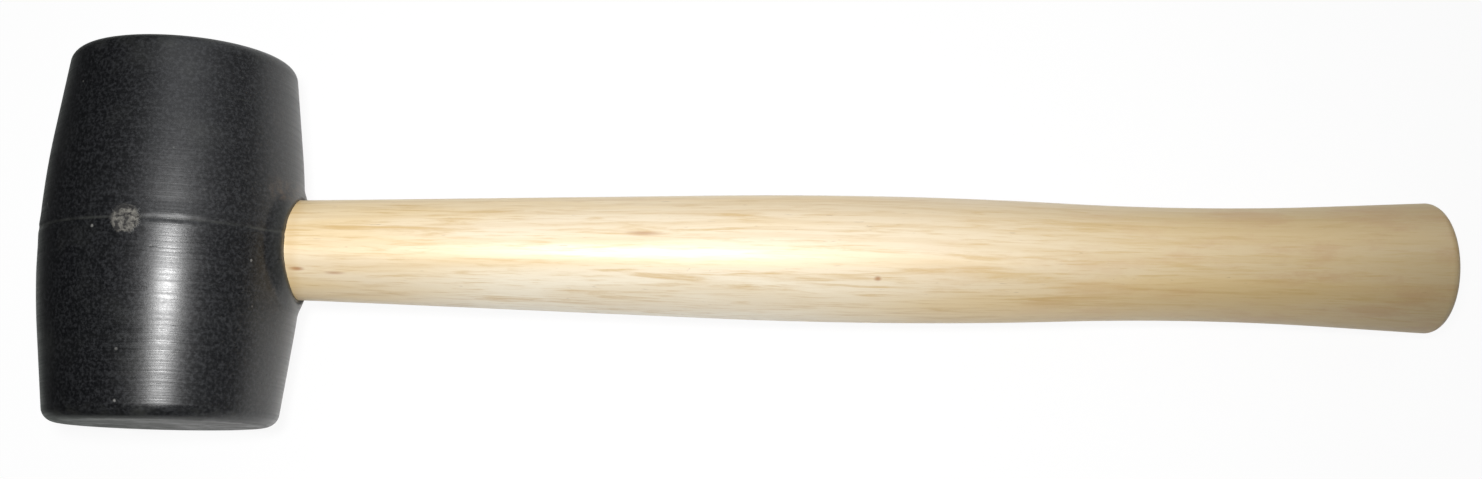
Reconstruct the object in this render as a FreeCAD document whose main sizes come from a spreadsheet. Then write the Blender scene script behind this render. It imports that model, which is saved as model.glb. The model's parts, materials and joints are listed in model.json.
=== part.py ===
import FreeCAD, Part
import Sketcher
import math
import os

# Rubber mallet with a turned wooden handle, in millimetres.
# The design frame has its origin at the middle of the head: X runs along the handle towards the butt,
# Y is the head's striking axis and Z is square to both. The finished mallet lies on its side: the barrel and
# the butt touch the floor at z = 0, and the origin is under the middle of the whole mallet.

sizes = {
    # head
    "head_height": 89.5,
    "barrel_radius": 30.5,
    "barrel_arc_radius": 195.0,
    "barrel_arc_half_height": 23.8,
    "face_edge_radius": 3.5,
    "parting_ridge": 0.25,
    "parting_ridge_land": 0.2,
    "parting_ridge_foot": 0.6,
    # eye and the lip round the handle's entry
    "eye_radius": 12.2,
    "eye_offset": 2.0,
    "lip_height": 0.9,
    "lip_width": 2.4,
    # scar left by the mould's gate, on the parting line
    "gate_radius": 3.5,
    "gate_height": 0.35,
    "gate_angle": 3.5,
    # handle, measured along its axis from the head's axis
    "crown_end": 28.6,
    "crown_chamfer": 0.8,
    "entry_distance": 31.0,
    "taper_end_distance": 131.0,
    "taper_end_radius": 15.15,
    "belly_end_distance": 218.0,
    "belly_end_radius": 14.7,
    "flare_distance": 284.0,
    "flare_radius": 15.05,
    "butt_distance": 314.0,
    "butt_dome_radius": 45.0,
    "butt_corner_radius": 2.5,
    # wedge
    "wedge_length": 22.0,
    "wedge_width": 17.0,
    "wedge_thick_end": 3.2,
    "wedge_thin_end": 1.0,
    "wedge_proud": 0.4,
}

doc = FreeCAD.newDocument("rubber_mallet")
sheet = doc.addObject("Spreadsheet::Sheet", "sizes")
for row, (alias, value) in enumerate(sizes.items(), start=1):
    sheet.set("A%d" % row, alias)
    sheet.set("B%d" % row, str(value))
    sheet.setAlias("B%d" % row, alias)
doc.recompute()

start, end, centre = 1, 2, 3
origin_point = (-1, 1)
x_axis = -1


def vector(x, y, z=0.0):
    return FreeCAD.Vector(x, y, z)


def add_body(label):
    body = doc.addObject("PartDesign::Body", label)
    body.Label = label
    return body


def origin_plane(body, role):
    return next(feature for feature in body.Origin.OriginFeatures if feature.Role == role)


def add_sketch(body, name, role):
    sketch = body.newObject("Sketcher::SketchObject", name)
    sketch.AttachmentSupport = [(origin_plane(body, role), "")]
    sketch.MapMode = "FlatFace"
    return sketch


def add_line(sketch, first, second):
    return sketch.addGeometry(Part.LineSegment(vector(*first), vector(*second)))


def add_arc(sketch, first, through, second):
    curve = Part.Arc(vector(*first), vector(*through), vector(*second))
    return sketch.addGeometry(curve)


def relate(sketch, kind, *where):
    sketch.addConstraint(Sketcher.Constraint(kind, *where))


def dimension(sketch, kind, where, value, expression):
    index = sketch.addConstraint(Sketcher.Constraint(kind, *where, value))
    sketch.setExpression("Constraints[%d]" % index, expression)


def place_point(sketch, geometry, point, x, x_expression, y, y_expression):
    dimension(sketch, "DistanceX", (*origin_point, geometry, point), x, x_expression)
    dimension(sketch, "DistanceY", (*origin_point, geometry, point), y, y_expression)


def revolve(body, sketch, axis, name):
    revolution = body.newObject("PartDesign::Revolution", name)
    revolution.Profile = sketch
    revolution.ReferenceAxis = (sketch, [axis])
    revolution.Angle = 360.0
    return revolution


def make_barrel(label, growth, growth_expression):
    """One half of the barrel turned about Y and mirrored at the parting plane; growth thickens it evenly."""
    size = sizes
    half_height = size["head_height"] / 2
    radius = size["barrel_radius"] + growth
    arc_radius = size["barrel_arc_radius"] + growth
    arc_centre_x = size["barrel_radius"] - size["barrel_arc_radius"]
    tangent_y = size["barrel_arc_half_height"]
    tangent_x = arc_centre_x + math.sqrt(arc_radius ** 2 - tangent_y ** 2)
    slope = tangent_y / (tangent_x - arc_centre_x)
    edge = size["face_edge_radius"]
    edge_x = tangent_x - slope * (half_height - edge - tangent_y)
    ridge_x = radius + size["parting_ridge"]
    land = size["parting_ridge_land"]
    foot = size["parting_ridge_foot"]
    middle_x = arc_centre_x + math.sqrt(arc_radius ** 2 - (tangent_y / 2) ** 2)
    edge_middle = (edge_x - edge * 0.35, half_height - edge * 0.25)

    body = add_body(label)
    sketch = add_sketch(body, label + "_profile", "XY_Plane")
    floor = add_line(sketch, (0, 0), (ridge_x, 0))
    ridge_top = add_line(sketch, (ridge_x, 0), (ridge_x, land))
    ridge_side = add_line(sketch, (ridge_x, land), (radius, foot))
    crown = add_arc(sketch, (radius, foot), (middle_x, tangent_y / 2), (tangent_x, tangent_y))
    taper = add_line(sketch, (tangent_x, tangent_y), (edge_x, half_height - edge))
    corner = add_arc(sketch, (edge_x, half_height - edge), edge_middle, (edge_x - edge, half_height))
    face = add_line(sketch, (edge_x - edge, half_height), (0, half_height))
    axis = add_line(sketch, (0, half_height), (0, 0))

    relate(sketch, "Coincident", floor, start, *origin_point)
    relate(sketch, "Coincident", floor, end, ridge_top, start)
    relate(sketch, "Coincident", ridge_top, end, ridge_side, start)
    relate(sketch, "Coincident", ridge_side, end, crown, start)
    relate(sketch, "Tangent", crown, end, taper, start)
    relate(sketch, "Tangent", taper, end, corner, start)
    relate(sketch, "Tangent", corner, end, face, start)
    relate(sketch, "Coincident", face, end, axis, start)
    relate(sketch, "Coincident", axis, end, *origin_point)
    relate(sketch, "Horizontal", floor)
    relate(sketch, "Vertical", ridge_top)
    relate(sketch, "Horizontal", face)
    relate(sketch, "Vertical", axis)
    relate(sketch, "PointOnObject", crown, centre, x_axis)
    dimension(sketch, "DistanceX", (*origin_point, floor, end), ridge_x,
              "sizes.barrel_radius + sizes.parting_ridge" + growth_expression)
    dimension(sketch, "DistanceY", (*origin_point, ridge_top, end), land, "sizes.parting_ridge_land")
    dimension(sketch, "DistanceY", (*origin_point, ridge_side, end), foot, "sizes.parting_ridge_foot")
    dimension(sketch, "Radius", (crown,), arc_radius, "sizes.barrel_arc_radius" + growth_expression)
    dimension(sketch, "DistanceX", (crown, centre, *origin_point), -arc_centre_x,
              "sizes.barrel_arc_radius - sizes.barrel_radius")
    dimension(sketch, "DistanceY", (*origin_point, crown, end), tangent_y, "sizes.barrel_arc_half_height")
    dimension(sketch, "Radius", (corner,), edge, "sizes.face_edge_radius")
    dimension(sketch, "DistanceY", (*origin_point, face, end), half_height, "sizes.head_height / 2")

    half = revolve(body, sketch, "V_Axis", label + "_half")
    doc.recompute()
    mirrored = body.newObject("PartDesign::Mirrored", label + "_mirrored")
    mirrored.Originals = [half]
    mirrored.MirrorPlane = (origin_plane(body, "XZ_Plane"), [""])
    body.Tip = mirrored
    return body


def make_handle_blank():
    """The turned stick about its own axis: eye stretch, taper, belly, waist, flare and domed butt."""
    size = sizes
    crown_x = -size["crown_end"]
    eye = size["eye_radius"]
    chamfer = size["crown_chamfer"]
    entry = (size["entry_distance"], eye)
    taper_end = (size["taper_end_distance"], size["taper_end_radius"])
    belly_end = (size["belly_end_distance"], size["belly_end_radius"])
    flare_start = (size["flare_distance"], size["flare_radius"])
    butt = size["butt_distance"]
    corner_radius = size["butt_corner_radius"]
    belly_top = ((taper_end[0] + belly_end[0]) / 2, (taper_end[1] + belly_end[1]) / 2 + 0.75)
    waist_low = ((belly_end[0] + flare_start[0]) / 2, (belly_end[1] + flare_start[1]) / 2 - 0.74)
    flare_slope = 0.05
    flare_end_x = butt - corner_radius - 2.3
    flare_end = (flare_end_x, flare_start[1] + flare_slope * (flare_end_x - flare_start[0]))
    corner_middle = (flare_end[0] + corner_radius * 0.7, flare_end[1] - corner_radius * 0.3)
    corner_end = (butt - 2.5, flare_end[1] - corner_radius * 0.7)
    dome_middle = (butt - 0.6, corner_end[1] / 2)

    body = add_body("handle_blank")
    sketch = add_sketch(body, "handle_profile", "XY_Plane")
    crown_face = add_line(sketch, (crown_x, 0), (crown_x, eye - chamfer))
    bevel = add_line(sketch, (crown_x, eye - chamfer), (crown_x + chamfer, eye))
    neck = add_line(sketch, (crown_x + chamfer, eye), entry)
    taper = add_line(sketch, entry, taper_end)
    belly = add_arc(sketch, taper_end, belly_top, belly_end)
    waist = add_arc(sketch, belly_end, waist_low, flare_start)
    flare = add_line(sketch, flare_start, flare_end)
    corner = add_arc(sketch, flare_end, corner_middle, corner_end)
    dome = add_arc(sketch, corner_end, dome_middle, (butt, 0))
    axis = add_line(sketch, (butt, 0), (crown_x, 0))

    relate(sketch, "Coincident", crown_face, end, bevel, start)
    relate(sketch, "Coincident", bevel, end, neck, start)
    relate(sketch, "Coincident", neck, end, taper, start)
    relate(sketch, "Tangent", taper, end, belly, end)
    relate(sketch, "Tangent", belly, start, waist, start)
    relate(sketch, "Tangent", waist, end, flare, start)
    relate(sketch, "Tangent", flare, end, corner, end)
    relate(sketch, "Tangent", corner, start, dome, end)
    relate(sketch, "Coincident", dome, start, axis, start)
    relate(sketch, "Coincident", axis, end, crown_face, start)
    relate(sketch, "Vertical", crown_face)
    relate(sketch, "Horizontal", neck)
    relate(sketch, "PointOnObject", axis, start, x_axis)
    relate(sketch, "PointOnObject", axis, end, x_axis)
    relate(sketch, "PointOnObject", dome, centre, x_axis)
    dimension(sketch, "DistanceX", (crown_face, start, *origin_point), size["crown_end"], "sizes.crown_end")
    dimension(sketch, "DistanceX", (bevel, start, bevel, end), chamfer, "sizes.crown_chamfer")
    dimension(sketch, "DistanceY", (bevel, start, bevel, end), chamfer, "sizes.crown_chamfer")
    place_point(sketch, neck, end, entry[0], "sizes.entry_distance", entry[1], "sizes.eye_radius")
    place_point(sketch, taper, end, taper_end[0], "sizes.taper_end_distance",
                taper_end[1], "sizes.taper_end_radius")
    place_point(sketch, waist, start, belly_end[0], "sizes.belly_end_distance",
                belly_end[1], "sizes.belly_end_radius")
    place_point(sketch, flare, start, flare_start[0], "sizes.flare_distance",
                flare_start[1], "sizes.flare_radius")
    dimension(sketch, "DistanceX", (*origin_point, axis, start), butt, "sizes.butt_distance")
    dimension(sketch, "Radius", (dome,), size["butt_dome_radius"], "sizes.butt_dome_radius")
    dimension(sketch, "Radius", (corner,), corner_radius, "sizes.butt_corner_radius")
    revolve(body, sketch, "H_Axis", "turned_stick")
    return body, sketch, corner


def make_wedge():
    """A flat steel wedge, thickest at the crown end, driven along X."""
    size = sizes
    outer = -size["crown_end"] - size["wedge_proud"]
    inner = outer + size["wedge_length"]
    thick = size["wedge_thick_end"] / 2
    thin = size["wedge_thin_end"] / 2

    body = add_body("steel_wedge")
    sketch = add_sketch(body, "wedge_profile", "XZ_Plane")
    back = add_line(sketch, (outer, -thick), (outer, thick))
    upper = add_line(sketch, (outer, thick), (inner, thin))
    tip = add_line(sketch, (inner, thin), (inner, -thin))
    lower = add_line(sketch, (inner, -thin), (outer, -thick))
    relate(sketch, "Coincident", back, end, upper, start)
    relate(sketch, "Coincident", upper, end, tip, start)
    relate(sketch, "Coincident", tip, end, lower, start)
    relate(sketch, "Coincident", lower, end, back, start)
    relate(sketch, "Symmetric", back, start, back, end, x_axis)
    relate(sketch, "Symmetric", tip, start, tip, end, x_axis)
    dimension(sketch, "DistanceY", (back, start, back, end), 2 * thick, "sizes.wedge_thick_end")
    dimension(sketch, "DistanceY", (tip, end, tip, start), 2 * thin, "sizes.wedge_thin_end")
    dimension(sketch, "DistanceX", (back, start, *origin_point), -outer,
              "sizes.crown_end + sizes.wedge_proud")
    dimension(sketch, "DistanceX", (back, end, upper, end), size["wedge_length"], "sizes.wedge_length")
    pad = body.newObject("PartDesign::Pad", "wedge_blank")
    pad.Profile = sketch
    pad.Midplane = True
    pad.setExpression("Length", "sizes.wedge_width")
    return body


def make_cylinder(label, radius_expression, height_expression):
    cylinder = doc.addObject("Part::Cylinder", label)
    cylinder.setExpression("Radius", radius_expression)
    cylinder.setExpression("Height", height_expression)
    return cylinder


barrel = make_barrel("barrel", 0.0, "")
lip_barrel = make_barrel("lip_barrel", sizes["lip_height"], " + sizes.lip_height")
handle_blank, handle_profile, butt_corner = make_handle_blank()
steel_wedge = make_wedge()
lip_core = make_cylinder("lip_core", "sizes.eye_radius + sizes.lip_width", "2 * sizes.barrel_radius")
gate_stub = make_cylinder("gate_stub", "sizes.gate_radius", "sizes.barrel_radius + sizes.gate_height")
eye_core = make_cylinder("eye_core", "sizes.eye_radius", "4 * sizes.barrel_radius")
doc.recompute()

# The mallet turns about Y until the corner of the butt comes down to the floor that the barrel lies on.
rest_radius = sizes["barrel_radius"] + sizes["parting_ridge"]
corner_curve = handle_profile.Geometry[butt_corner]
corner_x = corner_curve.Center.x
corner_y = corner_curve.Center.y
reach = math.hypot(corner_x, corner_y)
lie_angle = math.asin((rest_radius - corner_curve.Radius) / reach) - math.atan2(corner_y, corner_x)

across_y = vector(0, 1, 0)
no_turn = FreeCAD.Rotation()
to_handle_axis = FreeCAD.Placement(vector(0, -sizes["eye_offset"], 0), no_turn)
along_x = FreeCAD.Placement(vector(0, 0, 0), FreeCAD.Rotation(across_y, 90))
eye_start = FreeCAD.Placement(vector(-2 * sizes["barrel_radius"], 0, 0), no_turn)
gate_turn = FreeCAD.Placement(vector(0, 0, 0), FreeCAD.Rotation(across_y, -sizes["gate_angle"]))

# The lip is the part of a slightly thicker barrel that stands within a ring round the handle's entry.
lip = doc.addObject("Part::Common", "lip")
lip.Base = lip_barrel
lip.Tool = lip_core
moulding = doc.addObject("Part::MultiFuse", "moulding")
moulding.Shapes = [barrel, lip, gate_stub]
rubber_head = doc.addObject("Part::Cut", "rubber_head")
rubber_head.Base = moulding
rubber_head.Tool = eye_core
rubber_head.Label = "rubber_head"

# The wedge spreads its own slit in the end of the stick.
handle = doc.addObject("Part::Cut", "handle")
handle.Base = handle_blank
handle.Tool = steel_wedge
handle.Label = "handle"

sub_parts = [rubber_head, handle, steel_wedge]


def set_down(head_x):
    """Lays every piece on the floor with the head's axis at head_x."""
    lie = FreeCAD.Placement(vector(head_x, 0, rest_radius),
                            FreeCAD.Rotation(across_y, math.degrees(lie_angle)))
    barrel.Placement = lie
    lip_barrel.Placement = lie
    handle_blank.Placement = lie * to_handle_axis
    steel_wedge.Placement = lie * to_handle_axis
    lip_core.Placement = lie * to_handle_axis * along_x
    eye_core.Placement = lie * to_handle_axis * eye_start * along_x
    gate_stub.Placement = lie * gate_turn
    doc.recompute()


# Set down once to measure the overall length, then again with its middle at x = 0.
set_down(0.0)
spans = [item.Shape.optimalBoundingBox(False) for item in sub_parts]
crown_limit = min(span.XMin for span in spans)
butt_limit = max(span.XMax for span in spans)
head_x = -(crown_limit + butt_limit) / 2
set_down(head_x)

for item in doc.Objects:
    if "Invalid" in item.State or "Error" in item.State:
        raise RuntimeError("%s failed: %s" % (item.Name, item.State))
for item in sub_parts:
    if item.Shape.isNull() or not item.Shape.isValid() or len(item.Shape.Solids) != 1:
        raise RuntimeError("%s is not one valid solid" % item.Label)

os.makedirs("parts", exist_ok=True)
for item in sub_parts:
    item.Shape.exportStep("parts/%s.step" % item.Label)
    box = item.Shape.optimalBoundingBox(False)
    print("%-12s volume %9.1f mm3  x %.3f..%.3f  y %.3f..%.3f  z %.3f..%.3f" % (
        item.Label, item.Shape.Volume, box.XMin, box.XMax, box.YMin, box.YMax, box.ZMin, box.ZMax))
print("head axis at x %.3f, lie angle %.4f degrees" % (head_x, math.degrees(lie_angle)))
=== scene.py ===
import json
import math
import bmesh
import bpy
from mathutils import Matrix, Vector


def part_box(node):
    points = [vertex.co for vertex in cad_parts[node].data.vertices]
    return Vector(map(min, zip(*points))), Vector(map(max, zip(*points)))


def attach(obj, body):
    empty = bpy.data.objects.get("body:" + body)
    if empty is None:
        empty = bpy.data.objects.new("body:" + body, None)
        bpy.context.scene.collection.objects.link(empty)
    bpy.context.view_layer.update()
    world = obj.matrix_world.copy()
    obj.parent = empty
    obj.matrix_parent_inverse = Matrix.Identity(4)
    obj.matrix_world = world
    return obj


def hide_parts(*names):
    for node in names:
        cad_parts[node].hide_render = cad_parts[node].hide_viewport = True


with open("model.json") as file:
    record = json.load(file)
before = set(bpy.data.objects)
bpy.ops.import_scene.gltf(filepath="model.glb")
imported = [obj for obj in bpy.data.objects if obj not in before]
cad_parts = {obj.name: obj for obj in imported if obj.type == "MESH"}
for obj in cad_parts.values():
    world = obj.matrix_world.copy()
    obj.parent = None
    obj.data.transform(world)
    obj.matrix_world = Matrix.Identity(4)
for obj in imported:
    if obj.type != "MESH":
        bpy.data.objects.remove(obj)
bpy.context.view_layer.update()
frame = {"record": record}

# where the mallet lies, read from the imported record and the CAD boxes
mounts = {mount["name"]: mount for mount in frame["record"]["mounts"]}
headLow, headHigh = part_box("rubber_head")
headCentre = Vector(mounts["upper_face"]["pos_m"])
headCentre.y = (headLow.y + headHigh.y) / 2
stickAxis = Vector(mounts["grip"]["axis"]).normalized()
lieAngle = math.asin(-stickAxis.z)              # how far the handle drops towards the butt
eyeDrop = headCentre.y - mounts["neck"]["pos_m"][1]
restRadius = headCentre.z - headLow.z           # barrel with its parting ridge
halfHeight = (headHigh.y - headLow.y) / 2
toFloor = Matrix.Translation(headCentre) @ Matrix.Rotation(lieAngle, 4, "Y")
mm = 0.001
seamWeld = 0.002 * mm                           # closes the lathe's seam and poles
cutWeld = 0.0002 * mm                           # keeps the smallest faces that the cuts leave


# node helpers, the same for geometry and shader trees

def feed(tree, socket, value):
    if isinstance(value, bpy.types.NodeSocket):
        tree.links.new(value, socket)
    elif value is not None:
        socket.default_value = value


def addNode(tree, kind, inputs=None, **settings):
    node = tree.nodes.new(kind)
    for name, value in settings.items():
        setattr(node, name, value)
    for name, value in (inputs or {}).items():
        feed(tree, node.inputs[name], value)
    return node


def calc(tree, operation, *values):
    node = addNode(tree, "ShaderNodeMath", operation=operation)
    for socket, value in zip(node.inputs, values):
        feed(tree, socket, value)
    return node.outputs[0]


def sumOf(tree, *values):
    total = values[0]
    for value in values[1:]:
        total = calc(tree, "ADD", total, value)
    return total


def product(tree, *values):
    total = values[0]
    for value in values[1:]:
        total = calc(tree, "MULTIPLY", total, value)
    return total


def radial(tree, first, second):
    return calc(tree, "SQRT", sumOf(tree, product(tree, first, first), product(tree, second, second)))


def ramp(tree, value, low, high, toLow=0.0, toHigh=1.0, smooth=True):
    node = addNode(tree, "ShaderNodeMapRange", interpolation_type="SMOOTHSTEP" if smooth else "LINEAR")
    for name, number in (("Value", value), ("From Min", low), ("From Max", high),
                         ("To Min", toLow), ("To Max", toHigh)):
        feed(tree, node.inputs[name], number)
    return node.outputs["Result"]


def blendColour(tree, factor, first, second):
    node = addNode(tree, "ShaderNodeMix", data_type="RGBA", blend_type="MIX")
    feed(tree, node.inputs["Factor"], factor)
    feed(tree, node.inputs[6], first)
    feed(tree, node.inputs[7], second)
    return node.outputs[2]


def shifted(tree, vector, seed):
    # another seed reads the same noise somewhere else
    node = addNode(tree, "ShaderNodeVectorMath", operation="ADD")
    feed(tree, node.inputs[0], vector)
    feed(tree, node.inputs[1], seed)
    return node.outputs[0]


def split(tree, vector):
    return addNode(tree, "ShaderNodeSeparateXYZ", {"Vector": vector}).outputs


def join(tree, x, y, z):
    return addNode(tree, "ShaderNodeCombineXYZ", {"X": x, "Y": y, "Z": z}).outputs[0]


def scaled(tree, vector, amounts):
    node = addNode(tree, "ShaderNodeVectorMath", operation="MULTIPLY")
    feed(tree, node.inputs[0], vector)
    feed(tree, node.inputs[1], amounts)
    return node.outputs[0]


def noise(tree, vector, scale=1.0, detail=4.0, roughness=0.55, distortion=0.0):
    node = addNode(tree, "ShaderNodeTexNoise", {"Vector": vector, "Scale": scale, "Detail": detail,
                                               "Roughness": roughness, "Distortion": distortion})
    return node.outputs["Fac"]


def openTree(kind, name, inputs, outputs):
    tree = bpy.data.node_groups.new(name, kind)
    for label, socketType in inputs:
        tree.interface.new_socket(label, in_out="INPUT", socket_type=socketType)
    for label, socketType in outputs:
        tree.interface.new_socket(label, in_out="OUTPUT", socket_type=socketType)
    source = tree.nodes.new("NodeGroupInput")
    sink = tree.nodes.new("NodeGroupOutput")
    return tree, source.outputs, sink.inputs


# one lathe tree turns any outline, and each piece adds its own shape to it

def latheTree():
    tree, given, result = openTree(
        "GeometryNodeTree", "latheFromOutline",
        [("Outline", "NodeSocketGeometry"), ("Segments", "NodeSocketInt"),
         ("Crowding", "NodeSocketFloat")],
        [("Geometry", "NodeSocketGeometry")])
    count = addNode(tree, "GeometryNodeAttributeDomainSize", {"Geometry": given["Outline"]}).outputs[0]
    columns = calc(tree, "ADD", given["Segments"], 1)
    grid = addNode(tree, "GeometryNodeMeshGrid", {"Vertices X": columns, "Vertices Y": count})
    index = addNode(tree, "GeometryNodeInputIndex").outputs[0]
    row = calc(tree, "MODULO", index, count)
    column = calc(tree, "FLOOR", calc(tree, "DIVIDE", calc(tree, "ADD", index, 0.5), count))
    place = addNode(tree, "GeometryNodeInputPosition").outputs[0]
    sample = addNode(tree, "GeometryNodeSampleIndex", data_type="FLOAT_VECTOR", domain="POINT")
    feed(tree, sample.inputs["Geometry"], given["Outline"])
    feed(tree, sample.inputs["Value"], place)
    feed(tree, sample.inputs["Index"], row)
    outline = split(tree, sample.outputs["Value"])
    turn = calc(tree, "MULTIPLY", calc(tree, "DIVIDE", column, given["Segments"]), math.tau)
    # crowding pulls the columns together on both sides where the handle comes through
    ripple = calc(tree, "SINE", calc(tree, "MULTIPLY", turn, 2))
    pull = calc(tree, "MULTIPLY", ripple, calc(tree, "MULTIPLY", given["Crowding"], 0.5))
    angle = calc(tree, "SUBTRACT", turn, pull)
    x = calc(tree, "MULTIPLY", outline[0], calc(tree, "COSINE", angle))
    z = calc(tree, "MULTIPLY", outline[0], calc(tree, "SINE", angle))
    placed = addNode(tree, "GeometryNodeSetPosition",
                     {"Geometry": grid.outputs["Mesh"], "Position": join(tree, x, outline[1], z)})
    merged = addNode(tree, "GeometryNodeMergeByDistance",
                     {"Geometry": placed.outputs[0], "Distance": seamWeld})
    outward = addNode(tree, "GeometryNodeFlipFaces", {"Mesh": merged.outputs[0]})
    feed(tree, result["Geometry"], outward.outputs[0])
    return tree


def newObject(name, mesh):
    piece = bpy.data.objects.new(name, mesh)
    bpy.context.scene.collection.objects.link(piece)
    return piece


def outlineObject(name, points):
    mesh = bpy.data.meshes.new(name)
    mesh.from_pydata([(r, h, 0) for r, h in points], [(i, i + 1) for i in range(len(points) - 1)], [])
    return newObject(name, mesh)


def runTree(piece, tree, inputs, sharpFrom=40):
    modifier = piece.modifiers.new("shape", "NODES")
    modifier.node_group = tree
    for item in tree.interface.items_tree:
        if item.in_out == "INPUT" and item.name in inputs:
            modifier[item.identifier] = inputs[item.name]
    bpy.context.view_layer.update()
    evaluated = piece.evaluated_get(bpy.context.evaluated_depsgraph_get())
    mesh = bpy.data.meshes.new_from_object(evaluated)
    piece.modifiers.clear()
    spare = piece.data
    piece.data = mesh
    bpy.data.meshes.remove(spare)
    mesh.name = piece.name
    mesh.transform(toFloor)
    # close the seams and turn every face outwards
    shape = bmesh.new()
    shape.from_mesh(mesh)
    bmesh.ops.remove_doubles(shape, verts=shape.verts, dist=cutWeld)
    bmesh.ops.recalc_face_normals(shape, faces=shape.faces)
    openEdges = sum(1 for edge in shape.edges if len(edge.link_faces) != 2)
    shape.to_mesh(mesh)
    shape.free()
    mesh.set_sharp_from_angle(angle=math.radians(sharpFrom))
    triangles = sum(len(face.vertices) - 2 for face in mesh.polygons)
    print(piece.name, "triangles", triangles, "open edges", openEdges)
    return piece


def arcPoints(centre, radius, fromAngle, toAngle, steps):
    span = [fromAngle + (toAngle - fromAngle) * i / steps for i in range(steps + 1)]
    return [(centre[0] + radius * math.cos(a), centre[1] + radius * math.sin(a)) for a in span]


def endTree(tree, geometry, material, result):
    smooth = addNode(tree, "GeometryNodeSetShadeSmooth", {"Geometry": geometry})
    real = addNode(tree, "GeometryNodeRealizeInstances", {"Geometry": smooth.outputs[0]})
    painted = addNode(tree, "GeometryNodeSetMaterial",
                      {"Geometry": real.outputs[0], "Material": material})
    feed(tree, result["Geometry"], painted.outputs[0])


lathe = latheTree()
print("lathe tree ready")

head = {
    "radius": restRadius - 0.25 * mm,   # barrel at mid-height, under the ridge
    "upperShrink": 0.2 * mm,            # the upper half of the mould is a little smaller
    "arcRadius": 195 * mm,
    "arcHalf": 23.8 * mm,
    "edge": 3.5 * mm,
    "ridge": 0.20 * mm,                 # both halves swell towards the parting line
    "ridgeReach": 4.0 * mm,
    "groove": 0.15 * mm,                # and meet in a narrow groove
    "grooveWidth": 0.70 * mm,
    "ridgeWear": 0.05 * mm,
    "faceDome": 0.25 * mm,
    "segments": 360,
    "crowding": 0.35,
    "cornerSteps": 14,
    "fineRow": (0.1 * mm, 1.6 * mm),    # (height of the outline's rows, used up to this height)
    "eyeRow": (0.5 * mm, 17 * mm),
    "wideRow": 0.8 * mm,
    "eyeRadius": 12.2 * mm,
    "lipHeight": 0.95 * mm,
    "lipWidth": 4.8 * mm,
    "lipShoulder": 0.4 * mm,            # the lip is at its full height this far from the wood
    "lipSide": 0.6,                     # share of that height at the sides of the handle
    "lipTop": 1.55,                     # and above and below it
    "rollDepth": 0.35 * mm,             # the lip's inner edge turns down onto the wood
    "rollWidth": 0.7 * mm,
    "crownRollDepth": 1.1 * mm,         # the eye's far edge is rounded inwards
    "crownRollWidth": 1.4 * mm,
    "sideFade": 5 * mm,                 # either edge shows only this far from the middle
    "seed": 0.0,
}

# torn scar where the mould was filled, on the parting line
gate = {
    "turn": math.radians(3.5),          # from the top of the barrel towards the crown
    "height": -0.4 * mm,
    "radius": 3.5 * mm,
    "proud": 0.3 * mm,
    "root": 0.7 * mm,
    "sink": 0.06 * mm,
    "ragged": (0.76, 1.04),             # the torn edge wanders between these shares of the radius
}


def barrelRadius(height):
    centre = head["radius"] - head["arcRadius"]
    tangent = centre + math.sqrt(head["arcRadius"] ** 2 - head["arcHalf"] ** 2)
    slope = head["arcHalf"] / (tangent - centre)
    reach = abs(height)
    if reach <= head["arcHalf"]:
        radius = centre + math.sqrt(head["arcRadius"] ** 2 - height ** 2)
    else:
        radius = tangent - slope * (reach - head["arcHalf"])
    if height > 0:
        radius -= head["upperShrink"] * min(1, height / head["ridgeReach"])
    swell = math.exp(-reach / head["ridgeReach"])
    valley = math.exp(-(height / head["grooveWidth"]) ** 2)
    return radius + head["ridge"] * swell - head["groove"] * valley


def rowAt(height):
    for row, top in (head["fineRow"], head["eyeRow"]):
        if height < top:
            return row
    return head["wideRow"]


def headOutline():
    slope = math.atan(head["arcHalf"] / math.sqrt(head["arcRadius"] ** 2 - head["arcHalf"] ** 2))
    edgeHeight = halfHeight - head["edge"]
    side = []
    height = 0.0
    while height < edgeHeight + head["edge"] * math.sin(slope) - 0.3 * mm:
        side.append(height)
        height += rowAt(height)
    upper = [(barrelRadius(h), h) for h in side]
    lower = [(barrelRadius(-h), -h) for h in side[1:]]

    def rim(sign):
        cornerRadius = barrelRadius(sign * edgeHeight) - head["edge"] / math.cos(slope)
        corner = arcPoints((cornerRadius, edgeHeight), head["edge"], slope, math.pi / 2, head["cornerSteps"])
        flat = [(cornerRadius * k, halfHeight) for k in (0.93, 0.8, 0.6, 0.35, 0.12, 0.0)]
        dome = head["faceDome"]
        # the face sinks very slightly inside its rim, as moulded rubber does
        return [(r, sign * (h - (dome * (1 - (r / cornerRadius) ** 2) if r < cornerRadius else 0)))
                for r, h in corner + flat]

    return list(reversed(rim(-1))) + list(reversed(lower)) + upper + rim(1)


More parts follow.
